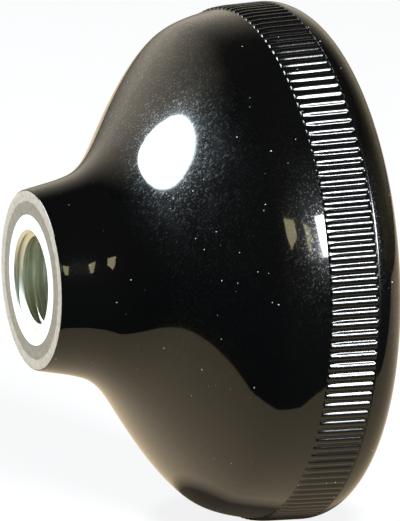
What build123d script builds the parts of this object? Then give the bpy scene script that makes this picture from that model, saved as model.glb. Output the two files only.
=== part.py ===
import os
from math import asin, cos, pi, radians, sin, sqrt, tan

from build123d import *

# Two-inch knurled knob: a phenolic moulding on a blind-tapped steel insert, in millimetres.
# The axis of the knob lies along X. The origin is on it where the wall of the tapped hole begins,
# the stem end faces -X, and the crowned face is at the +X end. Z is up.

# Stem and bell, given as radii at distances from the stem end
stem_radius = 8.73
stem_edge_chamfer = 0.15
stem_flare_angle = 13.0
neck_distance = 4.6
neck_radius = 9.78
flare_distance = 10.6
flare_radius = 16.12
dome_distance = 16.4
dome_radius = 23.38
dome_edge_angle = 14.0
bell_runs = 10

# Knurled band: straight ribs along the axis, with draft so that they leave the mould
knurl_start = 20.7
knurl_end = 25.4
crest_radius = 25.4
knurl_draft = 2.5
rib_count = 150
groove_depth = 0.4
groove_flank_angle = 45.0
dome_step = 0.1
rib_bevel_length = 0.6

# Lip and crowned face beyond the band
lip_width = 0.18
shoulder_radius = 3.1
crown_radius = 168.0
shoulder_runs = 4
crown_runs = 2

# Steel insert, moulded in and ground flush with the stem end
insert_face_width = 1.45
insert_length = 19.0
insert_groove_distance = 10.5
insert_groove_width = 2.4
insert_groove_depth = 0.8
insert_knurl_count = 12
insert_knurl_start = 3.0
insert_knurl_depth = 0.45

# Tapped hole, drawn at its minor radius, for a 3/8 inch fine thread
thread_minor_radius = 4.255
thread_depth = 14.3
countersink_width = 0.645
countersink_angle = 90.0
drill_point_angle = 118.0

os.makedirs("parts", exist_ok=True)

# The band's ribs and grooves shrink together towards the stem, as lines to one point on the axis
draft_slope = tan(radians(knurl_draft))
crest_radius_start = crest_radius - (knurl_end - knurl_start) * draft_slope
start_scale = crest_radius_start / crest_radius
root_radius = crest_radius - groove_depth
dome_edge_radius = start_scale * root_radius + dome_step
bevel_end = knurl_start + rib_bevel_length
bevel_end_radius = crest_radius_start + rib_bevel_length * draft_slope

# The curves are drawn in short straight runs. The shoulder is an arc that is tangent to the lip
# and to the crown, which is an arc about a centre on the axis.
shoulder_start = knurl_end + lip_width
shoulder_centre_radius = crest_radius - shoulder_radius
crown_centre = shoulder_start - sqrt((crown_radius - shoulder_radius) ** 2 - shoulder_centre_radius**2)
crown_half_angle = asin(shoulder_centre_radius / (crown_radius - shoulder_radius))
shoulder_angle = pi / 2 - crown_half_angle
shoulder_turns = [shoulder_angle * run / shoulder_runs for run in range(1, shoulder_runs + 1)]
shoulder_points = [
    (shoulder_start + shoulder_radius * sin(turn), shoulder_centre_radius + shoulder_radius * cos(turn))
    for turn in shoulder_turns
]
crown_turns = [crown_half_angle * (1 - run / crown_runs) for run in range(1, crown_runs + 1)]
crown_points = [(crown_centre + crown_radius * cos(turn), crown_radius * sin(turn)) for turn in crown_turns]

# Tapped hole: a countersunk mouth in the stem end, then the wall, then the drill point
mouth_radius = thread_minor_radius + countersink_width
mouth_depth = countersink_width / tan(radians(countersink_angle / 2))
drill_tip_length = thread_minor_radius / tan(radians(drill_point_angle / 2))

# Profiles are drawn at their distances from the stem end, which lies behind the origin
stem_end = -mouth_depth
profile_plane = Plane(origin=(stem_end, 0, 0), x_dir=(1, 0, 0), z_dir=(0, -1, 0))

# Blank of the insert: turned bar with a straight knurl that keeps it from turning in the
# moulding and a groove that keeps it from pulling out
insert_radius = mouth_radius + insert_face_width
insert_groove_end = insert_groove_distance + insert_groove_width
insert_groove_radius = insert_radius - insert_groove_depth
insert_knurl_side = 2 * insert_knurl_depth / sqrt(2)

with BuildPart() as insert_blank:
    with BuildSketch(profile_plane):
        with BuildLine():
            Polyline(
                (0, 0),
                (0, insert_radius),
                (insert_groove_distance, insert_radius),
                (insert_groove_distance, insert_groove_radius),
                (insert_groove_end, insert_groove_radius),
                (insert_groove_end, insert_radius),
                (insert_length, insert_radius),
                (insert_length, 0),
                close=True,
            )
        make_face()
    revolve(axis=Axis.X)
    with BuildSketch(Plane.YZ.offset(stem_end + insert_knurl_start)):
        with PolarLocations(insert_radius, insert_knurl_count):
            Rectangle(insert_knurl_side, insert_knurl_side, rotation=45)
    extrude(amount=insert_length - insert_knurl_start, mode=Mode.SUBTRACT)

# Threaded insert: the blank with its countersunk, blind hole from the stem end
with BuildPart() as threaded_insert:
    add(insert_blank.part)
    with BuildSketch(profile_plane):
        with BuildLine():
            Polyline(
                (0, 0),
                (0, mouth_radius),
                (mouth_depth, thread_minor_radius),
                (thread_depth, thread_minor_radius),
                (thread_depth + drill_tip_length, 0),
                close=True,
            )
        make_face()
    revolve(axis=Axis.X, mode=Mode.SUBTRACT)

threaded_insert.part.label = "threaded_insert"

# One groove of the knurl, drawn beside the Z axis and carried past the crest to cut clean
groove_clearance = 0.3
groove_cut_height = groove_depth + groove_clearance
groove_top_half = groove_cut_height * tan(radians(groove_flank_angle))

with BuildPart() as groove_cutter:
    for distance, section_scale in ((knurl_start, start_scale), (knurl_end, 1.0)):
        inner = section_scale * root_radius
        outer = section_scale * (root_radius + groove_cut_height)
        outer_half = section_scale * groove_top_half
        with BuildSketch(Plane.XY.offset(distance)):
            Polygon((inner, 0), (outer, -outer_half), (outer, outer_half), align=None)
    loft(ruled=True)

# Knob body: stem, bell, ribbed band and crowned face in one moulding, with the seat of the insert
flare_start_tangent = (cos(radians(stem_flare_angle)), sin(radians(stem_flare_angle)))
dome_end_tangent = (cos(radians(dome_edge_angle)), sin(radians(dome_edge_angle)))
bell_curve = Spline(
    (stem_edge_chamfer, stem_radius + stem_edge_chamfer * tan(radians(stem_flare_angle))),
    (neck_distance, neck_radius),
    (flare_distance, flare_radius),
    (dome_distance, dome_radius),
    (knurl_start, dome_edge_radius),
    tangents=(flare_start_tangent, dome_end_tangent),
)
bell_stations = [bell_curve @ (run / bell_runs) for run in range(bell_runs + 1)]
bell_points = [(station.X, station.Y) for station in bell_stations]

with BuildPart() as knob_body:
    with BuildSketch(profile_plane):
        with BuildLine():
            Polyline(
                (0, 0),
                (0, stem_radius - stem_edge_chamfer),
                *bell_points,
                (bevel_end, bevel_end_radius),
                (knurl_end, crest_radius),
                (shoulder_start, crest_radius),
                *shoulder_points,
                *crown_points,
                close=True,
            )
        make_face()
    revolve(axis=Axis.X)
    with Locations(Plane.YZ.offset(stem_end)):
        with PolarLocations(0, rib_count):
            add(groove_cutter.part, mode=Mode.SUBTRACT)
    add(insert_blank.part, mode=Mode.SUBTRACT)

knob_body.part.label = "knob_body"

export_step(knob_body.part, "parts/knob_body.step")
export_step(threaded_insert.part, "parts/threaded_insert.step")
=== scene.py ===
from math import asin, atan2, cos, pi, radians, sin, sqrt, tan

import bpy
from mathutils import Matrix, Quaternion, Vector


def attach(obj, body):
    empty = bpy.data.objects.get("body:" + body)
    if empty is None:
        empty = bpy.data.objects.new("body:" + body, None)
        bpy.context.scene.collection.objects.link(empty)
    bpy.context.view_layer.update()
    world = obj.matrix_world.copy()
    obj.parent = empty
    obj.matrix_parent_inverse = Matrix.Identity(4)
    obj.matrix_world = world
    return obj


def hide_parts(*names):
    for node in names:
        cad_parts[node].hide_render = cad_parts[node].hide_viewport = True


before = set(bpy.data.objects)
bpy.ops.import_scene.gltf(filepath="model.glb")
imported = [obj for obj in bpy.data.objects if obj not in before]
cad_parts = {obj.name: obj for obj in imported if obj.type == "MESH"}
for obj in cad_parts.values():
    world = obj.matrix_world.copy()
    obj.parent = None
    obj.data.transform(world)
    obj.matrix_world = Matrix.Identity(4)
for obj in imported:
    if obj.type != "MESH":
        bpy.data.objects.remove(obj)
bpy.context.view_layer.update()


# Knob moulding: one compression moulding in black wood-flour phenolic. The stem opens through
# a bell into a dome, then come a band of straight moulded ribs, a smooth lip and a low crown.
# The insert is moulded in, and the stem end is ground flush with it.
MM = 0.001
STEM_END = -0.645
WELD = 0.002
STEPS_ROUND = 300


def only_edit(piece):
    """Puts one piece, and nothing else, in edit mode with all of it selected."""
    if bpy.context.object and bpy.context.object.mode == "EDIT":
        bpy.ops.object.mode_set(mode="OBJECT")
    bpy.ops.object.select_all(action="DESELECT")
    bpy.context.view_layer.objects.active = piece
    piece.select_set(True)
    bpy.ops.object.mode_set(mode="EDIT")
    bpy.ops.mesh.select_mode(type="VERT")
    bpy.ops.mesh.select_all(action="SELECT")


def meridian(name, points):
    """Edges through points, each its distance from the stem end and its radius, in mm."""
    if bpy.context.object and bpy.context.object.mode == "EDIT":
        bpy.ops.object.mode_set(mode="OBJECT")
    bpy.ops.object.select_all(action="DESELECT")
    bpy.ops.mesh.primitive_plane_add(size=1, location=(0, 0, 0))
    piece = bpy.context.object
    piece.name = name
    only_edit(piece)
    bpy.ops.mesh.merge(type="CENTER")
    x, r = points[0]
    bpy.ops.transform.translate(value=(STEM_END + x, 0, r))
    for next_x, next_r in points[1:]:
        bpy.ops.mesh.extrude_vertices_move(TRANSFORM_OT_translate={"value": (next_x - x, 0, next_r - r)})
        x, r = next_x, next_r
    return piece


def spin_round(piece, steps):
    """Spins the piece's edges once round the X axis and closes the seam and the poles."""
    only_edit(piece)
    bpy.ops.mesh.spin(steps=steps, angle=2 * pi, center=(0, 0, 0), axis=(1, 0, 0))
    bpy.ops.mesh.select_all(action="SELECT")
    bpy.ops.mesh.remove_doubles(threshold=WELD)
    bpy.ops.mesh.normals_make_consistent(inside=False)


def bezier(p0, p1, p2, p3, steps):
    """Points of a cubic curve after its first one."""
    points = []
    for i in range(1, steps + 1):
        t = i / steps
        s = 1 - t
        weights = (s**3, 3 * s * s * t, 3 * s * t * t, t**3)
        points.append(tuple(sum(w * p[k] for w, p in zip(weights, (p0, p1, p2, p3))) for k in (0, 1)))
    return points


def finish_mesh(piece, angle):
    """Takes a mesh modelled in mm down to metres and shades it smooth up to an angle in degrees."""
    only_edit(piece)
    bpy.ops.mesh.normals_make_consistent(inside=False)
    bpy.ops.transform.resize(value=(MM, MM, MM), center_override=(0, 0, 0))
    bpy.ops.object.mode_set(mode="OBJECT")
    bpy.ops.object.shade_smooth_by_angle(angle=radians(angle))


# Back of the moulding, from the bottom of the insert's seat round to the edge of the dome
SEAT_RADIUS, SEAT_DEPTH = 6.36, 19.02
STEM_RADIUS, RING_RADIUS, BAND_START, DOME_EDGE = 8.73, 7.64, 20.7, 24.9
EDGE_START, EDGE_ROUND, EDGE_TURN, EDGE_STEPS = STEM_RADIUS - 0.15, 0.18, radians(77), 5
back_line = [(SEAT_DEPTH, 0), (SEAT_DEPTH, 3.2), (SEAT_DEPTH, SEAT_RADIUS)]
back_line += [(x, SEAT_RADIUS) for x in (14, 9, 4, 0.4)]
back_line += [(0, SEAT_RADIUS), (0, 7.0), (0, RING_RADIUS), (0, 8.1), (0, EDGE_START)]
for i in range(1, EDGE_STEPS + 1):
    turn = EDGE_TURN * i / EDGE_STEPS
    back_line.append((EDGE_ROUND - EDGE_ROUND * cos(turn), EDGE_START + EDGE_ROUND * sin(turn)))

# The stem opens in a nearly straight cone to the neck, then the bell hollows out to the flare
# and rounds over to the dome
CONE_END, NECK, FLARE, DOME = (2.6, 9.275), (4.6, 9.81), (10.6, 16.12), (16.4, 23.38)
back_line += bezier(back_line[-1], (0.39, 8.818), (0.65, 8.8747), (0.9, 8.926), 5)
back_line += [(1.5, 9.0492), (2.1, 9.1724), CONE_END]
back_line += bezier(CONE_END, (3.267, 9.412), (3.933, 9.5933), NECK, 8)
back_line += bezier(NECK, (7.106, 10.6245), (8.8172, 13.4041), FLARE, 18)
back_line += bezier(FLARE, (12.4978, 19.0112), (14.6359, 22.0728), DOME, 16)
back_line += bezier(DOME, (17.3646, 24.094), (18.93, 24.524), (20.4, 24.8232), 12)
back_line += [(BAND_START - 0.08, DOME_EDGE - 0.03), (BAND_START, DOME_EDGE - 0.015)]
knob = meridian("knob_moulding", back_line)
spin_round(knob, STEPS_ROUND)

# Front of the moulding: the lip beyond the ribs, the shoulder and the crown
BAND_END, CREST, LIP_WIDTH = 25.4, 25.4, 0.18
SHOULDER, CROWN = 3.1, 168.0
SHOULDER_STEPS, CROWN_STEPS = 16, 14
shoulder_x = BAND_END + LIP_WIDTH
shoulder_r = CREST - SHOULDER
crown_x = shoulder_x - sqrt((CROWN - SHOULDER) ** 2 - shoulder_r**2)
crown_edge = asin(shoulder_r / (CROWN - SHOULDER))
front_line = [(BAND_END + 0.02, CREST - 0.08), (BAND_END + 0.03, CREST - 0.04)]
front_line += [(BAND_END + 0.06, CREST - 0.012), (BAND_END + 0.1, CREST)]
for i in range(SHOULDER_STEPS + 1):
    turn = (pi / 2 - crown_edge) * i / SHOULDER_STEPS
    front_line.append((shoulder_x + SHOULDER * sin(turn), shoulder_r + SHOULDER * cos(turn)))
for i in range(1, CROWN_STEPS + 1):
    turn = crown_edge * (1 - i / CROWN_STEPS)
    front_line.append((crown_x + CROWN * cos(turn), CROWN * sin(turn)))
front = meridian("knob_front", front_line)
spin_round(front, STEPS_ROUND)

# One rib of the band, from groove to groove, spun as a plain strip and then raised in columns.
# Its flanks are straight between a round crest and a round root.
RIBS, COLUMNS = 150, 18
CREST_ROUND, ROOT_ROUND, FLANK = 0.5, 0.2, radians(44)
DRAFT = tan(radians(2.5))
HALF_PITCH = pi * CREST / RIBS
flank_run = HALF_PITCH - (CREST_ROUND + ROOT_ROUND) * sin(FLANK)
DEPTH = (CREST_ROUND + ROOT_ROUND) * (1 - cos(FLANK)) + flank_run * tan(FLANK)


def below_crest(across):
    """How far the rib's section lies under its crest, at a distance in mm from its middle."""
    across = abs(across)
    if across < CREST_ROUND * sin(FLANK):
        return CREST_ROUND - sqrt(CREST_ROUND**2 - across**2)
    if across > HALF_PITCH - ROOT_ROUND * sin(FLANK):
        return DEPTH - ROOT_ROUND + sqrt(ROOT_ROUND**2 - min(HALF_PITCH - across, ROOT_ROUND) ** 2)
    return CREST_ROUND * (1 - cos(FLANK)) + (across - CREST_ROUND * sin(FLANK)) * tan(FLANK)


# Stations along the band: distance, how far the crest is lowered, how far the groove is filled
stations = [(BAND_START, 0.3, -0.06), (BAND_START + 0.05, 0.19, -0.04), (BAND_START + 0.1, 0.12, -0.02)]
stations += [(BAND_START + 0.2, 0.095, 0.0), (BAND_START + 0.4, 0.07, 0.0), (BAND_START + 0.7, 0.035, 0.0)]
stations += [(BAND_START + 1.0, 0.01, 0.0), (BAND_START + 1.3, 0.0, 0.0)]
stations += [(BAND_END - 0.3, 0.0, 0.0), (BAND_END - 0.15, 0.0, 0.03)]
stations += [(BAND_END - 0.07, 0.0, 0.1), (BAND_END, 0.03, 0.16)]


def rib_radius(x, lowered, filled, across):
    """Radius in mm of the rib's surface at a station and a distance from the rib's middle."""
    crest = CREST - (BAND_END - x) * DRAFT
    return max(crest - DEPTH + filled, crest - lowered - below_crest(across))


rib = meridian("rib", [(x, CREST - DEPTH) for x, lowered, filled in stations])
only_edit(rib)
bpy.ops.mesh.spin(steps=COLUMNS, angle=2 * pi / RIBS, center=(0, 0, 0), axis=(1, 0, 0))
bpy.ops.mesh.select_all(action="DESELECT")
bpy.ops.object.mode_set(mode="OBJECT")
spots = [vertex.co - Vector((STEM_END, 0, 0)) for vertex in rib.data.vertices]
angles = [atan2(spot.y, spot.z) for spot in spots]
first, last = min(angles), max(angles)
for x, lowered, filled in stations:
    for column in range(COLUMNS + 1):
        angle = first + (last - first) * column / COLUMNS
        for vertex, spot, turn in zip(rib.data.vertices, spots, angles):
            vertex.select = abs(spot.x - x) < 0.01 and abs(turn - angle) < 0.0002
        across = (column / COLUMNS - 0.5) * 2 * HALF_PITCH
        stretch = rib_radius(x, lowered, filled, across) / (CREST - DEPTH)
        bpy.ops.object.mode_set(mode="EDIT")
        bpy.ops.transform.resize(value=(1, stretch, stretch), center_override=(0, 0, 0))
        bpy.ops.object.mode_set(mode="OBJECT")
only_edit(rib)
bpy.ops.mesh.spin(
    steps=RIBS - 1,
    dupli=True,
    angle=2 * pi * (RIBS - 1) / RIBS,
    center=(0, 0, 0),
    axis=(1, 0, 0),
)
bpy.ops.mesh.select_all(action="SELECT")
bpy.ops.mesh.remove_doubles(threshold=WELD)
bpy.ops.object.mode_set(mode="OBJECT")

# The three parts become one skin, bridged at both ends of the band
bpy.ops.object.select_all(action="DESELECT")
for piece in (rib, front, knob):
    piece.select_set(True)
bpy.context.view_layer.objects.active = knob
bpy.ops.object.join()
for seam_from, seam_to in ((BAND_START - 0.01, BAND_START + 0.01), (BAND_END - 0.01, BAND_END + 0.025)):
    only_edit(knob)
    bpy.ops.mesh.select_all(action="DESELECT")
    bpy.ops.mesh.select_mode(type="EDGE")
    bpy.ops.mesh.select_non_manifold(
        extend=False, use_wire=False, use_multi_face=False, use_non_contiguous=False, use_verts=False
    )
    bpy.ops.object.mode_set(mode="OBJECT")
    for edge in knob.data.edges:
        if edge.select:
            ends = [knob.data.vertices[i].co.x - STEM_END for i in edge.vertices]
            edge.select = seam_from < min(ends) and max(ends) < seam_to
    chosen = {i for edge in knob.data.edges if edge.select for i in edge.vertices}
    for vertex in knob.data.vertices:
        vertex.select = vertex.index in chosen
    bpy.ops.object.mode_set(mode="EDIT")
    bpy.ops.mesh.bridge_edge_loops()
finish_mesh(knob, 50)
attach(knob, "root")
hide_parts("knob_body")


def linear(code):
    """A hex colour as the linear values that shaders take."""
    values = [int(code[i : i + 2], 16) / 255 for i in (1, 3, 5)]
    return tuple(v / 12.92 if v <= 0.04045 else ((v + 0.055) / 1.055) ** 2.4 for v in values) + (1.0,)


def node(tree, kind, settings=(), inputs=(), links=()):
    """Adds a shader node with its settings, its input values and the sockets that feed it."""
    made = tree.nodes.new(kind)
    for name, value in dict(settings).items():
        setattr(made, name, value)
    for name, value in dict(inputs).items():
        made.inputs[name].default_value = value
    for name, source in dict(links).items():
        tree.links.new(source, made.inputs[name])
    return made


def new_material(name):
    """An empty node material and its output node."""
    material = bpy.data.materials.new(name)
    material.use_nodes = True
    material.node_tree.nodes.clear()
    return material, node(material.node_tree, "ShaderNodeOutputMaterial")


# Phenolic as it leaves a polished mould: nearly black, hard and glossy. Handling has left a veil
# of short, fine rubs, which scatter the lamps in a haze, and there are pale specks of dust.
phenolic, output = new_material("black phenolic, polished by the mould")
tree = phenolic.node_tree
place = node(tree, "ShaderNodeTexCoord")

# Dust: points in cells of 1.2 mm, of which those within 0.1 mm of the surface show
dust = node(
    tree,
    "ShaderNodeTexVoronoi",
    inputs={"Scale": 1 / (1.2 * MM)},
    links={"Vector": place.outputs["Object"]},
)
grain = node(tree, "ShaderNodeSeparateColor", links={"Color": dust.outputs["Color"]})
grain_size = node(
    tree,
    "ShaderNodeMapRange",
    inputs={"To Min": 0.012, "To Max": 0.07},
    links={"Value": grain.outputs["Red"]},
)
speck = node(
    tree,
    "ShaderNodeMath",
    {"operation": "LESS_THAN"},
    links={0: dust.outputs["Distance"], 1: grain_size.outputs["Result"]},
)

# Rubs: points in cells of 0.28 mm drawn out to ticks of about 0.1 by 0.6 mm, in four directions
rubs = None
for turn in ((0.0, 0.5, 0.3), (0.4, 1.2, 0.9), (0.3, -0.9, -0.5), (0.2, 0.3, 1.5)):
    drawn_out = node(
        tree,
        "ShaderNodeMapping",
        {"vector_type": "TEXTURE"},
        inputs={"Rotation": turn, "Scale": (5.0, 1.0, 1.0)},
        links={"Vector": place.outputs["Object"]},
    )
    ticks = node(
        tree,
        "ShaderNodeTexVoronoi",
        inputs={"Scale": 1 / (0.28 * MM)},
        links={"Vector": drawn_out.outputs["Vector"]},
    )
    tick = node(
        tree,
        "ShaderNodeMapRange",
        inputs={"From Min": 0.1, "From Max": 0.24, "To Min": 1.0, "To Max": 0.0},
        links={"Value": ticks.outputs["Distance"]},
    )
    if rubs is None:
        rubs = tick.outputs["Result"]
    else:
        either = node(
            tree,
            "ShaderNodeMath",
            {"operation": "MAXIMUM"},
            links={0: rubs, 1: tick.outputs["Result"]},
        )
        rubs = either.outputs[0]

# Haze: a veil of finer rubs, uneven over a few millimetres
patches = node(
    tree,
    "ShaderNodeTexNoise",
    inputs={"Scale": 1 / (3.0 * MM), "Detail": 6.0, "Roughness": 0.75},
    links={"Vector": place.outputs["Object"]},
)
veil = node(
    tree,
    "ShaderNodeMapRange",
    inputs={"From Min": 0.4, "From Max": 0.65, "To Min": 0.06, "To Max": 0.17},
    links={"Value": patches.outputs["Fac"]},
)
veil_and_rubs = node(
    tree,
    "ShaderNodeMath",
    {"operation": "MULTIPLY_ADD"},
    inputs={1: 0.85},
    links={0: rubs, 2: veil.outputs["Result"]},
)

# Hands reach the bell and the dome, hardly the stem, and more the upper half than the lower
split = node(tree, "ShaderNodeSeparateXYZ", links={"Vector": place.outputs["Object"]})
handled = node(
    tree,
    "ShaderNodeMapRange",
    inputs={"From Min": 4.0 * MM, "From Max": 9.0 * MM, "To Min": 0.03, "To Max": 1.0},
    links={"Value": split.outputs["X"]},
)
upper = node(
    tree,
    "ShaderNodeMapRange",
    inputs={"From Min": -8.0 * MM, "From Max": 3.0 * MM, "To Min": 0.15, "To Max": 1.0},
    links={"Value": split.outputs["Z"]},
)
touched = node(
    tree,
    "ShaderNodeMath",
    {"operation": "MULTIPLY"},
    links={0: upper.outputs["Result"], 1: handled.outputs["Result"]},
)
haze = node(
    tree,
    "ShaderNodeMath",
    {"operation": "MULTIPLY"},
    links={0: veil_and_rubs.outputs[0], 1: touched.outputs[0]},
)
worn = node(
    tree,
    "ShaderNodeMath",
    {"operation": "MULTIPLY"},
    links={0: patches.outputs["Fac"], 1: handled.outputs["Result"]},
)
polish = node(
    tree,
    "ShaderNodeMath",
    {"operation": "MULTIPLY_ADD"},
    inputs={1: 0.045, 2: 0.035},
    links={0: worn.outputs[0]},
)

# The ribs and the lip, cut into the mould and not polished, are a little duller
band_middle = (BAND_START + BAND_END + LIP_WIDTH) / 2 + STEM_END
band_half = (BAND_END + LIP_WIDTH - BAND_START) / 2
on_band = node(
    tree,
    "ShaderNodeMath",
    {"operation": "COMPARE"},
    inputs={1: band_middle * MM, 2: band_half * MM},
    links={0: split.outputs["X"]},
)
finish = node(
    tree,
    "ShaderNodeMath",
    {"operation": "MULTIPLY_ADD"},
    inputs={1: 0.17},
    links={0: on_band.outputs[0], 2: polish.outputs[0]},
)
dull = node(
    tree,
    "ShaderNodeMath",
    {"operation": "MULTIPLY_ADD"},
    inputs={1: 0.6},
    links={0: speck.outputs[0], 2: finish.outputs[0]},
)
skin = node(
    tree,
    "ShaderNodeMix",
    {"data_type": "RGBA"},
    inputs={"A": linear("#050505"), "B": linear("#a8a59f")},
    links={"Factor": speck.outputs[0]},
)

# The skin isn't quite flat: waves 9 mm long and a few thousandths of a millimetre deep
waves = node(
    tree,
    "ShaderNodeTexNoise",
    inputs={"Scale": 1 / (9.0 * MM), "Detail": 1.0},
    links={"Vector": place.outputs["Object"]},
)
relief = node(
    tree,
    "ShaderNodeMath",
    {"operation": "MULTIPLY_ADD"},
    inputs={1: 0.25},
    links={0: speck.outputs[0], 2: waves.outputs["Fac"]},
)
bump = node(
    tree,
    "ShaderNodeBump",
    inputs={"Strength": 1.0, "Distance": 0.02 * MM},
    links={"Height": relief.outputs[0]},
)
body = node(
    tree,
    "ShaderNodeBsdfPrincipled",
    inputs={"IOR": 1.6, "Coat Roughness": 0.26, "Coat IOR": 1.6},
    links={
        "Base Color": skin.outputs["Result"],
        "Roughness": dull.outputs[0],
        "Coat Weight": haze.outputs[0],
        "Normal": bump.outputs["Normal"],
    },
)
tree.links.new(body.outputs["BSDF"], output.inputs["Surface"])

# Stem end: the same phenolic ground flat, so that its grey filler shows in specks of about
# 0.25 mm. The skin of the moulding was finer and grinds to a paler outer ring.
ground, output = new_material("phenolic ground to the filler")
tree = ground.node_tree
place = node(tree, "ShaderNodeTexCoord")
split = node(tree, "ShaderNodeSeparateXYZ", links={"Vector": place.outputs["Object"]})
flat = node(tree, "ShaderNodeCombineXYZ", links={"Y": split.outputs["Y"], "Z": split.outputs["Z"]})
radius = node(tree, "ShaderNodeVectorMath", {"operation": "LENGTH"}, links={"Vector": flat.outputs["Vector"]})
filler = node(
    tree,
    "ShaderNodeTexNoise",
    inputs={"Scale": 1 / (0.5 * MM), "Detail": 4.0, "Roughness": 0.7},
    links={"Vector": place.outputs["Object"]},
)
wander = node(
    tree,
    "ShaderNodeMath",
    {"operation": "MULTIPLY_ADD"},
    inputs={1: 0.25 * MM},
    links={0: filler.outputs["Fac"], 2: radius.outputs["Value"]},
)
ring = node(
    tree,
    "ShaderNodeMapRange",
    inputs={"From Min": (RING_RADIUS + 0.07) * MM, "From Max": (RING_RADIUS + 0.18) * MM},
    links={"Value": wander.outputs[0]},
)
zones = node(
    tree,
    "ShaderNodeMix",
    {"data_type": "RGBA"},
    inputs={"A": linear("#8f8372"), "B": linear("#c6b5a3")},
    links={"Factor": ring.outputs["Result"]},
)
grit = node(
    tree,
    "ShaderNodeMapRange",
    inputs={"From Min": 0.35, "From Max": 0.65, "To Min": 0.75, "To Max": 1.1},
    links={"Value": filler.outputs["Fac"]},
)
shade = node(
    tree,
    "ShaderNodeVectorMath",
    {"operation": "SCALE"},
    links={0: zones.outputs["Result"], "Scale": grit.outputs["Result"]},
)
lines = node(
    tree,
    "ShaderNodeBump",
    inputs={"Strength": 0.6, "Distance": 0.03 * MM},
    links={"Height": filler.outputs["Fac"]},
)
body = node(
    tree,
    "ShaderNodeBsdfPrincipled",
    inputs={"Roughness": 0.55, "IOR": 1.5},
    links={"Base Color": shade.outputs["Vector"], "Normal": lines.outputs["Normal"]},
)
tree.links.new(body.outputs["BSDF"], output.inputs["Surface"])


def grind_end(piece, skin_material, ground_material):
    """Gives a piece its skin's material, and the ground one where it lies in the stem's end."""
    piece.data.materials.clear()
    piece.data.materials.append(skin_material)
    piece.data.materials.append(ground_material)
    for face in piece.data.polygons:
        in_end = face.center.x / MM < STEM_END + 0.005 and abs(face.normal.x) > 0.98
        face.material_index = 1 if in_end else 0


grind_end(knob, phenolic, ground)


# Threaded insert: turned steel, countersunk and tapped 3/8-24, and zinc plated. The phenolic is
# moulded round it and grips it by a groove, and its face is ground flush with the stem end.
INSERT_RADIUS, INSERT_LENGTH, MINOR, MOUTH = 6.34, 19.0, 4.255, 4.9
GROOVE_START, GROOVE_END, GROOVE_RADIUS = 10.5, 12.9, 5.56
PITCH, MAJOR, THREAD_END, DRILL_END = 25.4 / 24, 4.78, 12.6, 14.3
THREAD_ANGLE, DRILL_POINT, INSERT_STEPS = 60, 118, 128
outer_line = [(0, 0), (0, 3.0), (0, INSERT_RADIUS - 0.02), (0.02, INSERT_RADIUS), (3, INSERT_RADIUS)]
outer_line += [(GROOVE_START, INSERT_RADIUS), (GROOVE_START, GROOVE_RADIUS)]
outer_line += [(GROOVE_END, GROOVE_RADIUS), (GROOVE_END, INSERT_RADIUS)]
outer_line += [(INSERT_LENGTH, INSERT_RADIUS), (INSERT_LENGTH, 3.0), (INSERT_LENGTH, 0)]
insert = meridian("insert", outer_line)
spin_round(insert, INSERT_STEPS)

# The drill and countersink that cut it
drill_line = [(-0.5, 0), (-0.5, MOUTH + 0.5), (0, MOUTH), (MOUTH - MINOR, MINOR), (DRILL_END, MINOR)]
drill_line += [(DRILL_END + MINOR / tan(radians(DRILL_POINT / 2)), 0)]
drill = meridian("drill", drill_line)
spin_round(drill, INSERT_STEPS)

# The tap: one pitch of the thread's section, screwed along the axis and cut to length
VALLEY = MINOR - 0.14 * PITCH / tan(radians(THREAD_ANGLE / 2))
tap_line = [(-2 * PITCH, VALLEY), (-1.56 * PITCH, MAJOR), (-1.44 * PITCH, MAJOR), (-PITCH, VALLEY)]
tap = meridian("tap", tap_line)
bpy.ops.object.mode_set(mode="OBJECT")
screw = tap.modifiers.new("screw", "SCREW")
screw.axis = "X"
screw.angle = 2 * pi
screw.screw_offset = PITCH
screw.iterations = 17
screw.steps = 96
screw.render_steps = 96
screw.use_merge_vertices = False
bpy.ops.object.modifier_apply(modifier="screw")
only_edit(tap)
bpy.ops.mesh.remove_doubles(threshold=WELD)
for cut_x, before, after in ((STEM_END - 0.45, True, False), (STEM_END + THREAD_END, False, True)):
    bpy.ops.mesh.select_all(action="SELECT")
    bpy.ops.mesh.bisect(
        plane_co=(cut_x, 0, 0),
        plane_no=(1, 0, 0),
        use_fill=True,
        clear_inner=before,
        clear_outer=after,
        threshold=0.0005,
    )
bpy.ops.mesh.select_all(action="SELECT")
bpy.ops.mesh.normals_make_consistent(inside=False)
bpy.ops.object.mode_set(mode="OBJECT")

for cutter in (drill, tap):
    bpy.ops.object.select_all(action="DESELECT")
    bpy.context.view_layer.objects.active = insert
    insert.select_set(True)
    cut = insert.modifiers.new("cut", "BOOLEAN")
    cut.operation = "DIFFERENCE"
    cut.solver = "EXACT"
    cut.object = cutter
    bpy.ops.object.modifier_apply(modifier="cut")
    bpy.data.objects.remove(cutter)
finish_mesh(insert, 25)
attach(insert, "root")
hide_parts("threaded_insert")

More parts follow.
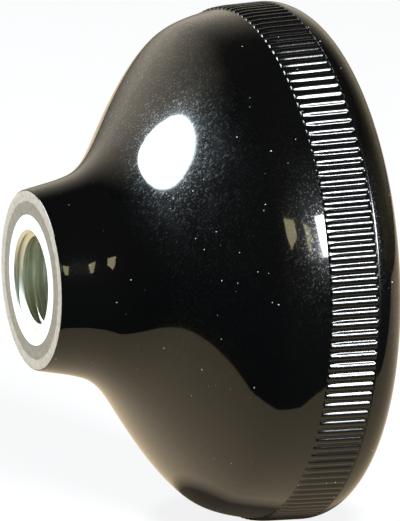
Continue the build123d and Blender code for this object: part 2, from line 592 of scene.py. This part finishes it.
# Bright zinc plate over turned steel: silver with a faint bloom of noise, and turning marks as
# rings 0.754 mm apart round the axis. A wave texture of scale 1 repeats every pi / 10 metres.
zinc, output = new_material("zinc-plated steel, turned")
tree = zinc.node_tree
place = node(tree, "ShaderNodeTexCoord")
bloom = node(
    tree,
    "ShaderNodeTexNoise",
    inputs={"Scale": 1 / (1.2 * MM), "Detail": 5.0, "Roughness": 0.65},
    links={"Vector": place.outputs["Object"]},
)
plate = node(
    tree,
    "ShaderNodeMix",
    {"data_type": "RGBA"},
    inputs={"A": linear("#e2e5d4"), "B": linear("#f2f3e7")},
    links={"Factor": bloom.outputs["Fac"]},
)
matt = node(
    tree,
    "ShaderNodeMapRange",
    inputs={"From Min": 0.3, "From Max": 0.7, "To Min": 0.36, "To Max": 0.46},
    links={"Value": bloom.outputs["Fac"]},
)
marks = node(
    tree,
    "ShaderNodeTexWave",
    {"wave_type": "RINGS", "rings_direction": "X"},
    inputs={"Scale": pi / 10 / (0.754 * MM), "Distortion": 0.6, "Detail": 1.0},
    links={"Vector": place.outputs["Object"]},
)
turned = node(
    tree,
    "ShaderNodeBump",
    inputs={"Strength": 0.5, "Distance": 0.01 * MM},
    links={"Height": marks.outputs["Fac"]},
)
body = node(
    tree,
    "ShaderNodeBsdfPrincipled",
    inputs={"Metallic": 1.0},
    links={
        "Base Color": plate.outputs["Result"],
        "Roughness": matt.outputs["Result"],
        "Normal": turned.outputs["Normal"],
    },
)
tree.links.new(body.outputs["BSDF"], output.inputs["Surface"])

# Face of the insert: bare steel, ground to a fine grey-white grain with the stem end
bare, output = new_material("steel, ground flat")
tree = bare.node_tree
place = node(tree, "ShaderNodeTexCoord")
drawn_out = node(
    tree,
    "ShaderNodeMapping",
    inputs={"Scale": (1.0, 0.15, 1.0)},
    links={"Vector": place.outputs["Object"]},
)
grain = node(
    tree,
    "ShaderNodeTexNoise",
    inputs={"Scale": 1 / (0.15 * MM), "Detail": 3.0},
    links={"Vector": drawn_out.outputs["Vector"]},
)
matt = node(
    tree,
    "ShaderNodeMapRange",
    inputs={"From Min": 0.3, "From Max": 0.7, "To Min": 0.45, "To Max": 0.6},
    links={"Value": grain.outputs["Fac"]},
)
body = node(
    tree,
    "ShaderNodeBsdfPrincipled",
    inputs={"Base Color": linear("#e6eaf0"), "Metallic": 1.0},
    links={"Roughness": matt.outputs["Result"]},
)
tree.links.new(body.outputs["BSDF"], output.inputs["Surface"])

grind_end(insert, zinc, bare)


# Paper floor: a plain white sheet under the knob. The camera sees it white, with a faint shadow. In
# reflections it is the warm cream of paper under a lamp. A painted fall-off of light turns it browner and
# darker toward the camera, and a painted contact shadow makes a dark disc where the rim rests. The matte
# paper is darkened in that disc too.
FLOOR_Z, FLOOR_SIZE = -CREST, 4000
REST_X, PAINTED_SHADOW_RADIUS, PAINTED_SHADOW_FADE = 22.4, 10.3, 1.2
AZIMUTH, ELEVATION = radians(-21.46), radians(11.83)
bpy.ops.object.select_all(action="DESELECT")
bpy.ops.mesh.primitive_plane_add(size=FLOOR_SIZE * MM, location=(0, 0, FLOOR_Z * MM))
floor = bpy.context.object
floor.name = "paper_floor"
bpy.ops.object.transform_apply(location=True, rotation=True, scale=True)
paper, output = new_material("white paper")
tree = paper.node_tree
place = node(tree, "ShaderNodeTexCoord")
path = node(tree, "ShaderNodeLightPath")
mirrored = node(
    tree,
    "ShaderNodeMath",
    {"operation": "MAXIMUM"},
    links={0: path.outputs["Is Glossy Ray"], 1: path.outputs["Is Transmission Ray"]},
)
away = node(
    tree,
    "ShaderNodeVectorMath",
    {"operation": "DISTANCE"},
    inputs={1: (REST_X * MM, 0, FLOOR_Z * MM)},
    links={0: place.outputs["Object"]},
)
# Painted contact shadow: a dark disc on the floor round the point where the rim rests, 0.12 of the glow
# inside it
outside_painted_shadow = node(
    tree,
    "ShaderNodeMapRange",
    inputs={
        "From Min": (PAINTED_SHADOW_RADIUS - PAINTED_SHADOW_FADE) * MM,
        "From Max": (PAINTED_SHADOW_RADIUS + PAINTED_SHADOW_FADE) * MM,
        "To Min": 0.12,
    },
    links={"Value": away.outputs["Value"]},
)
toward_camera = node(
    tree,
    "ShaderNodeVectorMath",
    {"operation": "DOT_PRODUCT"},
    inputs={1: (sin(AZIMUTH), -cos(AZIMUTH), 0)},
    links={0: place.outputs["Object"]},
)
# Painted light fall-off: in reflections the paper turns from lamplit cream to a darker brown toward the
# camera, standing in for the lamps' light falling off there
painted_falloff_toward_camera = node(
    tree,
    "ShaderNodeMapRange",
    inputs={"From Min": -20 * MM, "From Max": 24 * MM},
    links={"Value": toward_camera.outputs["Value"]},
)
cream_with_painted_falloff = node(
    tree,
    "ShaderNodeMix",
    {"data_type": "RGBA"},
    inputs={"A": (0.84, 0.65, 0.41, 1), "B": (0.42, 0.3, 0.11, 1)},
    links={"Factor": painted_falloff_toward_camera.outputs["Result"]},
)
mirror_strength = node(
    tree,
    "ShaderNodeMath",
    {"operation": "MULTIPLY"},
    links={0: mirrored.outputs[0], 1: outside_painted_shadow.outputs["Result"]},
)
in_mirrors = node(
    tree,
    "ShaderNodeEmission",
    links={"Color": cream_with_painted_falloff.outputs["Result"], "Strength": mirror_strength.outputs[0]},
)
camera_strength = node(
    tree,
    "ShaderNodeMath",
    {"operation": "MULTIPLY"},
    inputs={1: 0.86},
    links={0: path.outputs["Is Camera Ray"]},
)
to_camera = node(
    tree,
    "ShaderNodeEmission",
    inputs={"Color": (1, 1, 1, 1)},
    links={"Strength": camera_strength.outputs[0]},
)
# The matte paper is darkened in the same disc, a painted shadow that the camera and the lamps' bounce see too
paper_grey_with_painted_shadow = node(
    tree,
    "ShaderNodeMix",
    {"data_type": "RGBA"},
    inputs={"A": (0.02, 0.02, 0.02, 1), "B": (0.16, 0.16, 0.16, 1)},
    links={"Factor": outside_painted_shadow.outputs["Result"]},
)
matte = node(tree, "ShaderNodeBsdfDiffuse", links={"Color": paper_grey_with_painted_shadow.outputs["Result"]})
glow = node(tree, "ShaderNodeAddShader", links={0: to_camera.outputs[0], 1: in_mirrors.outputs[0]})
sheet = node(tree, "ShaderNodeAddShader", links={0: matte.outputs[0], 1: glow.outputs[0]})
tree.links.new(sheet.outputs[0], output.inputs["Surface"])
floor.data.materials.append(paper)

# Camera at the photograph's angle, far off, as a long lens sees it. It is aimed at a point to
# the right of the middle of the stem end and a little above it, sizes in mm.
AIM_RIGHT, AIM_UP, CAMERA_DISTANCE = 16.24, 1.90, 480.3
SENSOR_WIDTH, FOCAL_LENGTH = 36.0, 345.5
back = Vector((sin(AZIMUTH) * cos(ELEVATION), -cos(AZIMUTH) * cos(ELEVATION), sin(ELEVATION)))
right = Vector((cos(AZIMUTH), sin(AZIMUTH), 0))
up = Vector((-sin(AZIMUTH) * sin(ELEVATION), cos(AZIMUTH) * sin(ELEVATION), cos(ELEVATION)))
aim = Vector((STEM_END, 0, 0)) + AIM_RIGHT * right + AIM_UP * up
bpy.ops.object.camera_add(location=(aim + CAMERA_DISTANCE * back) * MM)
camera = bpy.context.object
camera.rotation_mode = "QUATERNION"
camera.rotation_quaternion = (-back).to_track_quat("-Z", "Y")
camera.data.sensor_width = SENSOR_WIDTH
camera.data.lens = FOCAL_LENGTH
camera.data.clip_start = 0.01
camera.data.clip_end = 20.0
bpy.context.scene.camera = camera


# Cards that only reflections see: the dark table in front of the paper, two panes of a window,
# and the lit wall round the back and the sides
MIDDLE, FAR_OFF = Vector((13, 0, 0)), 600.0


def toward(azimuth, elevation):
    """The unit vector in a direction given in degrees, round from -Y and up."""
    turn, rise = radians(azimuth), radians(elevation)
    return Vector((sin(turn) * cos(rise), -cos(turn) * cos(rise), sin(rise)))


def corner_line(name, corners):
    """Edges through corners in mm, drawn out from one vertex."""
    bpy.ops.object.mode_set(mode="OBJECT")
    bpy.ops.object.select_all(action="DESELECT")
    bpy.ops.mesh.primitive_plane_add(size=1, location=(0, 0, 0))
    made = bpy.context.object
    made.name = name
    only_edit(made)
    bpy.ops.mesh.merge(type="CENTER")
    bpy.ops.transform.translate(value=corners[0])
    for last_corner, corner in zip(corners, corners[1:]):
        bpy.ops.mesh.extrude_vertices_move(TRANSFORM_OT_translate={"value": corner - last_corner})
    bpy.ops.mesh.select_all(action="SELECT")
    return made


def hang_card(made, material):
    """Takes a card down to metres and leaves it in view of reflections only."""
    only_edit(made)
    bpy.ops.transform.resize(value=(MM, MM, MM), center_override=(0, 0, 0))
    bpy.ops.object.mode_set(mode="OBJECT")
    made.data.materials.append(material)
    made.visible_camera = False
    made.visible_diffuse = False
    made.visible_shadow = False
    made.visible_transmission = False


def glowing(name, colour, strength):
    """A material that gives off an even light."""
    material, output = new_material(name)
    light = node(material.node_tree, "ShaderNodeEmission", inputs={"Color": colour, "Strength": strength})
    material.node_tree.links.new(light.outputs[0], output.inputs["Surface"])
    return material


# The table begins where the paper ends, a little in front of the knob. Its edge is given as
# distances to the right of the stem end and toward the camera.
front_way = Vector((sin(AZIMUTH), -cos(AZIMUTH), 0))
under_stem = Vector((STEM_END, 0, FLOOR_Z + 0.2))
paper_edge = [(-3000, 27), (-30, 27.5), (-15, 26), (0, 23.5), (12, 24.5), (28, 25), (32, 28), (36, 31)]
paper_edge += [(60, 25), (3000, 24)]
table_outline = paper_edge + [(3000, 3000), (-3000, 3000)]
table_corners = [under_stem + rightward * right + ahead * front_way for rightward, ahead in table_outline]
table = corner_line("dark_table", table_corners)
bpy.ops.mesh.edge_face_add()
hang_card(table, glowing("dark table", (0.75, 0.9, 1.0, 1), 0.02))

# The window's panes, on a plane square to their direction, cut by what stands before them
PANE_AZIMUTH, PANE_ELEVATION = -15, 22
pane_way = toward(PANE_AZIMUTH, PANE_ELEVATION)
pane_right = Vector((cos(radians(PANE_AZIMUTH)), sin(radians(PANE_AZIMUTH)), 0))
pane_up = pane_way.cross(pane_right)
pane_middle = MIDDLE + FAR_OFF * pane_way
daylight = glowing("daylight through a window", (1.0, 0.9, 0.55, 1), 3.7)
for name, shape in (
    ("window_pane_left", [(-180, 72), (-40, 68), (-18, -5), (-90, -66), (-152, -8)]),
    ("window_pane_right", [(41, 58), (88, 38), (91, -72), (72, -66)]),
):
    pane = corner_line(name, [pane_middle + across * pane_right + rise * pane_up for across, rise in shape])
    bpy.ops.mesh.edge_face_add()
    hang_card(pane, daylight)

# The wall: a sheet bent round the back and the sides of the knob. It is brightest low down and
# straight behind, browner to the sides, and it fades at its top, its foot and its left end.
WALL_START, WALL_TURN, WALL_STEPS, WALL_TOP = 45, 210, 64, 900.0
wall_foot = MIDDLE + FAR_OFF * toward(WALL_START, 0) + Vector((0, 0, FLOOR_Z))
wall = corner_line("lit_wall", [wall_foot, wall_foot + Vector((0, 0, WALL_TOP))])
bpy.ops.mesh.spin(steps=WALL_STEPS, angle=radians(WALL_TURN), center=MIDDLE, axis=(0, 0, -1))
plaster, output = new_material("lit wall")
tree = plaster.node_tree
place = node(tree, "ShaderNodeTexCoord")
split = node(tree, "ShaderNodeSeparateXYZ", links={"Vector": place.outputs["Object"]})
height = node(
    tree,
    "ShaderNodeMapRange",
    inputs={"From Min": 210 * MM, "From Max": 880 * MM, "To Min": 1.0, "To Max": 0.0},
    links={"Value": split.outputs["Z"]},
)
fall = node(
    tree,
    "ShaderNodeMath",
    {"operation": "POWER"},
    inputs={1: 2.1},
    links={0: height.outputs["Result"]},
)
upward = node(
    tree,
    "ShaderNodeMath",
    {"operation": "MULTIPLY_ADD"},
    inputs={1: 0.8, 2: 0.02},
    links={0: fall.outputs[0]},
)
foot = node(
    tree,
    "ShaderNodeMapRange",
    inputs={"From Min": FLOOR_Z * MM, "From Max": 110 * MM, "To Min": 0.1, "To Max": 1.0},
    links={"Value": split.outputs["Z"]},
)
from_foot = node(
    tree,
    "ShaderNodeMath",
    {"operation": "MULTIPLY"},
    links={0: upward.outputs[0], 1: foot.outputs["Result"]},
)
left_end = node(
    tree,
    "ShaderNodeMapRange",
    inputs={"From Min": -540 * MM, "From Max": -400 * MM},
    links={"Value": split.outputs["X"]},
)
from_end = node(
    tree,
    "ShaderNodeMath",
    {"operation": "MULTIPLY"},
    links={0: from_foot.outputs[0], 1: left_end.outputs["Result"]},
)
behind = node(
    tree,
    "ShaderNodeMapRange",
    inputs={"From Min": -100 * MM, "From Max": FAR_OFF * MM},
    links={"Value": split.outputs["Y"]},
)
sideways = node(
    tree,
    "ShaderNodeMath",
    {"operation": "MULTIPLY_ADD"},
    inputs={1: 0.75, 2: 0.25},
    links={0: behind.outputs["Result"]},
)
strength = node(
    tree,
    "ShaderNodeMath",
    {"operation": "MULTIPLY"},
    links={0: from_end.outputs[0], 1: sideways.outputs[0]},
)
wash = node(
    tree,
    "ShaderNodeMix",
    {"data_type": "RGBA"},
    inputs={"A": (1.0, 0.84, 0.45, 1), "B": (1.0, 0.9, 0.74, 1)},
    links={"Factor": behind.outputs["Result"]},
)
light = node(
    tree,
    "ShaderNodeEmission",
    links={"Color": wash.outputs["Result"], "Strength": strength.outputs[0]},
)
tree.links.new(light.outputs[0], output.inputs["Surface"])
hang_card(wall, plaster)


# Lamps: two soft boxes in a dim room
def softbox(name, shape, azimuth, elevation, roll, width, height, power, colour):
    """A soft box that faces the middle of the knob, rolled about that line in degrees, sizes in mm."""
    way = toward(azimuth, elevation)
    bpy.ops.object.light_add(type="AREA", location=(MIDDLE + FAR_OFF * way) * MM)
    lamp = bpy.context.object
    lamp.name = name
    lamp.rotation_mode = "QUATERNION"
    lamp.rotation_quaternion = Quaternion(way, radians(roll)) @ way.to_track_quat("Z", "Y")
    lamp.data.shape = shape
    lamp.data.size = width * MM
    lamp.data.size_y = height * MM
    lamp.data.energy = power
    lamp.data.color = colour
    lamp.visible_camera = False


softbox("lamp_right", "RECTANGLE", 10.9, 21.6, 0, 245, 185, 8.5, (0.93, 0.97, 1.0))
softbox("lamp_left", "ELLIPSE", -127, 16.7, 15, 385, 275, 5.8, (0.8, 0.93, 1.0))

world = bpy.data.worlds.new("dim room")
bpy.context.scene.world = world
world.use_nodes = True
world.node_tree.nodes["Background"].inputs["Color"].default_value = (0.02, 0.02, 0.02, 1)
world.node_tree.nodes["Background"].inputs["Strength"].default_value = 1.0
bpy.context.scene.view_settings.view_transform = "Standard"
